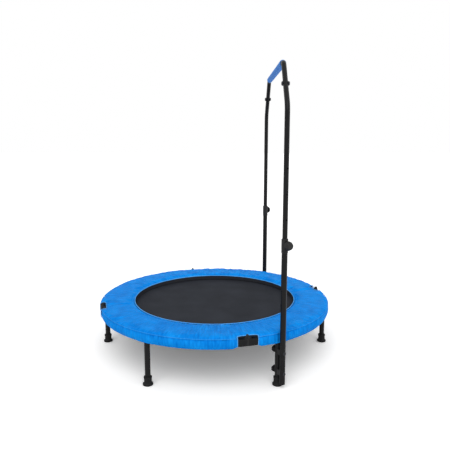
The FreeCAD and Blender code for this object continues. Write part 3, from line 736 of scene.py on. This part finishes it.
def makeOuterPiping():
    # Piping in the seam where the top cloth meets the skirt, laid on the cover's shoulder between the notches.
    p = padBinding
    tree = surfaceOf(cover)
    height = Vector((0, 0, p["pipingHeight"]))
    paths = []
    for start, end in edgeStrips():
        path = []
        for i in range(p["pipingSteps"] + 1):
            angle = start + (end - start) * i / p["pipingSteps"]
            outwards = Vector((cos(angle), sin(angle), 0))
            hit = tree.ray_cast(outwards * 0.6 + height, -outwards)[0]   # from well outside the pad
            radius = hypot(hit.x, hit.y) if hit is not None else 0
            path.append(outwards * max(radius, outerRadius - p["pipingInset"]) + height)
        paths.append(path)
    # The piping's paler cloth is partly a paler tape and partly a painted highlight along the cover's shoulder.
    pipedEdge("padOuterPiping", paths, p["pipingRadius"], pipingTapeAndHighlight)


def repeated(name, model, places, finish):
    # Copies of one shape, each at its own place, as one piece.
    shape = bmesh.new()
    for place in places:
        copy = model.data.copy()
        copy.transform(place)
        shape.from_mesh(copy)
        bpy.data.meshes.remove(copy)
    bpy.data.objects.remove(model)
    return pieceFrom(name, shape, finish)


def makeStitches(name, surface, rows, size, finish):
    # Rows of stitches laid on a surface, each row at its own radius and from above or from below.
    tree = surfaceOf(surface)
    places = []
    for radius, above in rows:
        count = round(tau * radius / size["pitch"])
        for i in range(count):
            angle = tau * i / count
            start = Vector((radius * cos(angle), radius * sin(angle), 0.3 if above else 0.1))
            hit = tree.ray_cast(start, Vector((0, 0, -1 if above else 1)))[0]
            if hit is not None:
                places.append(Matrix.Translation(hit) @ Matrix.Rotation(angle, 4, "Z"))
    clearSelection()
    bpy.ops.mesh.primitive_uv_sphere_add(segments=6, ring_count=4, radius=0.5,
                                         scale=(size["width"], size["length"], size["width"]))
    applyPlace()
    stitches = repeated(name, bpy.context.object, places, finish)
    smooth(stitches)
    return stitches


padUnderside = {
    "inner": padCover["innerRadius"] + 0.0001, "top": padBinding["weltHeight"] - 0.0006, "foot": 0.1970,
    "turn": 0.006, "outer": 0.4850, "edge": padCover["underside"] - 0.0014, "thickness": 0.0006, "segments": 960,
}


def makePadUnderside():
    # The dark cloth under the pad, turned up at its inner edge to the welt. The turned-up band is painted shade: a dark
    # sheet in the gap under the inner lip, which is only in shadow.
    p = padUnderside
    corners = [(p["inner"], p["top"], 0), (p["inner"], p["foot"], 0.0025), (p["inner"] + p["turn"], p["foot"], 0.002),
               (padCover["level"], p["edge"], 0), (p["outer"], p["edge"], 0)]
    points = roundedOutline(corners, 3)
    underside = spunRing("padUnderside", points, p["segments"], liningAndShadeCloth, closed=False)
    applyModifier(underside, "SOLIDIFY", thickness=p["thickness"], offset=0.0)
    smooth(underside, 60)
    ringUv(underside)
    return underside


makeInnerWelt()
underside = makePadUnderside()
makeNotchBinding()
makeOuterPiping()
padStitch = {"pitch": 0.006, "length": 0.0042, "width": 0.0010}
seamRow = [(padCover["innerRadius"] + padCover["channel"], True)]
padStitches = makeStitches("padStitches", cover, seamRow, padStitch, bindingTapeAndHighlight)
for piece in [padStitches, cover, skirt, underside]:
    acrossFold(piece)
print("pad edging and stitches made")


jumpingMat = {
    "thickness": 0.0012, "rings": 62, "segments": 360, "edgeGap": 0.0004, "hem": 0.014, "hemThickness": 0.0026,
    "stitchRows": (0.0115, 0.0035), "foldReach": 0.03,
}


def makeMatSheet():
    # One taut disc of cloth, in rings fine enough to bend at the fold line.
    p = jumpingMat
    shape = bmesh.new()
    middle = shape.verts.new((0, 0, ringHeight))
    rings = []
    for ring in range(1, p["rings"] + 1):
        radius = (matRadius - p["edgeGap"]) * ring / p["rings"]
        angles = [tau * (i + 0.5) / p["segments"] + radians(firstHinge) for i in range(p["segments"])]
        rings.append([shape.verts.new((radius * cos(angle), radius * sin(angle), ringHeight)) for angle in angles])
    for i in range(p["segments"]):
        after = (i + 1) % p["segments"]
        shape.faces.new((middle, rings[0][i], rings[0][after]))
        for inner, outer in zip(rings, rings[1:]):
            shape.faces.new((inner[i], outer[i], outer[after], inner[after]))
    sheet = pieceFrom("matSheet", shape, weave)
    applyModifier(sheet, "SOLIDIFY", thickness=p["thickness"], offset=0.0)
    smooth(sheet, 60)
    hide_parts("mat_fixed_half", "mat_folding_half")
    return sheet


def makeMatHem():
    # The mat's edge, folded over a tape and sewn.
    p = jumpingMat
    half = p["hemThickness"] / 2
    inner = matRadius - p["hem"]
    corners = [(inner, ringHeight - half, 0.0004), (matRadius, ringHeight - half, 0.0009),
               (matRadius, ringHeight + half, 0.0009), (inner, ringHeight + half, 0.0004)]
    hem = spunRing("matHem", roundedOutline(corners, 3), p["segments"], weave)
    smooth(hem, 50)
    return hem


tab = {"width": 0.0084, "thickness": 0.0008, "length": 0.0080, "wire": 0.0026, "play": 0.00005, "gap": 0.0001}


def makeMatTabs():
    # A loop of webbing round each V-ring, its two ends sewn to the top and the bottom of the hem.
    p = tab
    turn = p["wire"] / 2 + p["play"] + p["thickness"] / 2
    centre = matRadius + p["gap"] + p["wire"] / 2
    clearSelection()
    bpy.ops.mesh.primitive_plane_add(size=p["width"], location=(centre - p["length"], 0, ringHeight + turn))
    applyPlace()
    loop = bpy.context.object
    bpy.ops.object.mode_set(mode="EDIT")
    bpy.ops.mesh.select_all(action="DESELECT")
    shape = bmesh.from_edit_mesh(loop.data)
    outer = max(v.co.x for v in shape.verts)
    for edge in shape.edges:
        if all(abs(v.co.x - outer) < 0.0001 for v in edge.verts):
            edge.select_set(True)
    bmesh.update_edit_mesh(loop.data)
    drawOut(centre - outer, 0, 0)
    bpy.ops.mesh.spin(steps=8, angle=-pi, center=(centre, 0, ringHeight), axis=(0, 1, 0))
    drawOut(-p["length"] - p["width"] / 2, 0, 0)
    bpy.ops.mesh.select_all(action="SELECT")
    bpy.ops.mesh.normals_make_consistent(inside=False)
    bpy.ops.object.mode_set(mode="OBJECT")
    applyModifier(loop, "SOLIDIFY", thickness=p["thickness"], offset=0.0)
    places = [Matrix.Rotation(radians(firstHinge + springStep * (i + 0.5)), 4, "Z") for i in range(springCount)]
    tabs = repeated("matTabs", loop, places, strap)
    smooth(tabs, 50)
    ringUv(tabs)
    return tabs


matSheet = makeMatSheet()
matHem = makeMatHem()
matTabs = makeMatTabs()
matStitch = {"pitch": 0.0045, "length": 0.0032, "width": 0.0008}
hemRows = [(matRadius - row, above) for above in (True, False) for row in jumpingMat["stitchRows"]]
matStitches = makeStitches("matStitches", matHem, hemRows, matStitch, weave)
for piece in [matSheet, matHem, matStitches, matTabs]:
    acrossFold(piece)
print("mat made")


tensionSpring = {
    "wire": 0.0024, "width": 0.0100, "start": 0.4080, "length": 0.0730, "turns": 26, "steps": 12, "sides": 6,
    "hookCentre": 0.3841, "hookBend": 0.0026, "hookEnd": 0.0045, "tailBend": 0.0020, "tail": 0.0070,
    "weld": 0.00002,
}


def wireEnd(place, rotation):
    # A filled circle of wire in edit mode, ready to be drawn out.
    p = tensionSpring
    clearSelection()
    bpy.ops.mesh.primitive_circle_add(vertices=p["sides"] + 2, radius=p["wire"] / 2, fill_type="NGON",
                                      location=place, rotation=rotation)
    applyPlace()
    bpy.ops.object.mode_set(mode="EDIT")
    bpy.ops.mesh.select_all(action="SELECT")


def closeWire():
    bpy.ops.mesh.select_all(action="SELECT")
    bpy.ops.mesh.normals_make_consistent(inside=False)
    bpy.ops.object.mode_set(mode="OBJECT")
    return bpy.context.object


def makeSpring():
    # One close-coiled tension spring along +X: coil, the hook at the mat's end and the tail at the frame's end.
    p = tensionSpring
    reach = (p["width"] - p["wire"]) / 2
    end = p["start"] + p["length"]
    pitch = (p["length"] - p["wire"]) / p["turns"]
    clearSelection()
    bpy.ops.mesh.primitive_circle_add(vertices=p["sides"], radius=p["wire"] / 2, location=(-reach, 0, 0),
                                      rotation=(pi / 2, 0, 0))
    coil = bpy.context.object
    applyPlace()
    applyModifier(coil, "SCREW", axis="Z", screw_offset=pitch, iterations=p["turns"], steps=p["steps"],
                  render_steps=p["steps"], use_normal_calculate=True)
    coil.rotation_euler = (0, pi / 2, 0)
    coil.location = (p["start"] + p["wire"] / 2, 0, ringHeight)
    choose(coil)
    applyPlace()
    bpy.ops.object.mode_set(mode="EDIT")
    bpy.ops.mesh.select_all(action="SELECT")
    bpy.ops.mesh.remove_doubles(threshold=p["weld"])
    bpy.ops.mesh.normals_make_consistent(inside=False)
    bpy.ops.mesh.select_non_manifold()
    bpy.ops.mesh.fill_holes(sides=p["sides"])
    bpy.ops.object.mode_set(mode="OBJECT")
    wireEnd((p["start"] + p["wire"], 0, ringHeight + reach), (0, pi / 2, 0))
    drawOut(p["hookCentre"] - p["start"] - p["wire"], 0, p["hookBend"] - reach)
    bpy.ops.mesh.spin(steps=8, angle=pi, center=(p["hookCentre"], 0, ringHeight), axis=(0, 1, 0))
    drawOut(p["hookEnd"], 0, 0)
    hook = closeWire()
    last = end - p["wire"] / 2
    wireEnd((last, 0, ringHeight + reach), (0, 0, 0))
    drawOut(0, 0, p["tailBend"] - reach)
    bpy.ops.mesh.spin(steps=4, angle=-pi / 2, axis=(0, 1, 0),
                      center=(last + p["tailBend"], 0, ringHeight + p["tailBend"]))
    drawOut(p["tail"], 0, 0)
    tail = closeWire()
    choose(coil)
    hook.select_set(True)
    tail.select_set(True)
    bpy.ops.object.join()
    return coil


def makeSprings(name, node, body, first):
    # One half's springs, the first of them half a step past an angle.
    places = [Matrix.Rotation(radians(first + springStep * (i + 0.5)), 4, "Z") for i in range(springCount // 2)]
    springs = repeated(name, makeSpring(), places, zinc)
    smooth(springs, 60)
    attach(springs, body)
    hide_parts(node)


makeSprings("springsFixedHalf", "springs_fixed_half", "fixed_frame", firstHinge - 90)
makeSprings("springsFoldingHalf", "springs_folding_half", "folding_frame", firstHinge + 90)
print("springs made")


handGrip = {"wall": 0.0034, "sides": 48, "cuts": 46, "skin": 0.0003, "endGap": 0.001, "endRounding": 0.0014}


def makeGrip():
    # A foam tube pushed on over the bar, with soft rolled ends and a slightly uneven skin.
    p = handGrip
    middle = (gripLow + gripHigh) / 2
    radius = (gripHigh.z - gripLow.z) / 2
    length = gripHigh.y - gripLow.y
    clearSelection()
    bpy.ops.mesh.primitive_cylinder_add(vertices=p["sides"], radius=radius, depth=length - p["endGap"],
                                        end_fill_type="NOTHING", location=middle, rotation=(radians(90), 0, 0))
    grip = bpy.context.object
    grip.name = "foamSleeve"
    applyPlace()
    shape = bmesh.new()
    shape.from_mesh(grip.data)
    long = [e for e in shape.edges if abs(e.verts[0].co.y - e.verts[1].co.y) > 0.01]
    bmesh.ops.subdivide_edges(shape, edges=long, cuts=p["cuts"], use_grid_fill=True)
    for vertex in shape.verts:
        out = Vector((vertex.co.x - middle.x, 0, vertex.co.z - middle.z)).normalized()
        vertex.co += out * p["skin"] * noise.noise(vertex.co * 22)
    shape.to_mesh(grip.data)
    shape.free()
    applyModifier(grip, "SOLIDIFY", thickness=p["wall"], offset=-1.0)
    applyModifier(grip, "BEVEL", width=p["endRounding"], segments=3, limit_method="ANGLE", angle_limit=radians(50))
    grip.data.materials.clear()
    grip.data.materials.append(foam)
    smooth(grip, 60)
    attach(grip, "handle")
    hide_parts("foam_grip")


makeGrip()
print("grip made")


studio = {
    "sky": 0.6, "floor": 0.8, "floorSeen": 1.2, "floorLift": 0.1, "floorSize": 60,
    # Each lamp: how strong, how wide in degrees, and its turn about X, Y and Z in degrees.
    "lamps": [(1.55, 60, (43, -3, 0)), (0.4, 30, (82, 0, 72))],
}


def seenRays(owner):
    # 1 where the camera sees a surface straight on, in a reflection or through glass, and 0 where it only gives light.
    rays = addNode(owner, "ShaderNodeLightPath")
    direct = addNode(owner, "ShaderNodeMath", {"operation": "MAXIMUM"},
                     {0: rays.outputs["Is Camera Ray"], 1: rays.outputs["Is Glossy Ray"]})
    through = addNode(owner, "ShaderNodeMath", {"operation": "MAXIMUM"},
                      {0: direct.outputs[0], 1: rays.outputs["Is Transmission Ray"]})
    return through.outputs[0]


def makeSky():
    world = bpy.data.worlds.new("studio")
    bpy.context.scene.world = world
    world.use_nodes = True
    world.node_tree.nodes.clear()
    strength = addNode(world, "ShaderNodeMapRange", {3: studio["sky"], 4: 1.0}, {0: seenRays(world)})
    sky = addNode(world, "ShaderNodeBackground", {"Color": (1, 1, 1, 1)}, {"Strength": strength.outputs[0]})
    addNode(world, "ShaderNodeOutputWorld", None, {"Surface": sky.outputs["Background"]})


def makeLamps():
    for strength, width, turn in studio["lamps"]:
        bpy.ops.object.light_add(type="SUN", rotation=[radians(angle) for angle in turn])
        bpy.context.object.data.energy = strength
        bpy.context.object.data.angle = radians(width)


def makeFloor():
    # Matt white paint, a little brighter where it is seen, so that only the shadow shows on it.
    clearSelection()
    bpy.ops.mesh.primitive_plane_add(size=studio["floorSize"], location=(0, 0, 0))
    ground = bpy.context.object
    ground.name = "floor"
    material = startMaterial("paintedFloor")
    seen = seenRays(material)
    tone = addNode(material, "ShaderNodeMapRange", {3: studio["floor"], 4: studio["floorSeen"]}, {0: seen})
    paint = addNode(material, "ShaderNodeBsdfDiffuse", None, {"Color": tone.outputs[0]})
    lift = addNode(material, "ShaderNodeMath", {"operation": "MULTIPLY", 1: studio["floorLift"]}, {0: seen})
    glow = addNode(material, "ShaderNodeEmission", {"Color": (1, 1, 1, 1)}, {"Strength": lift.outputs[0]})
    both = addNode(material, "ShaderNodeAddShader", None, {0: paint.outputs[0], 1: glow.outputs[0]})
    addNode(material, "ShaderNodeOutputMaterial", None, {"Surface": both.outputs[0]})
    ground.data.materials.append(material)


makeSky()
makeLamps()
makeFloor()
bpy.context.scene.view_settings.view_transform = "Standard"
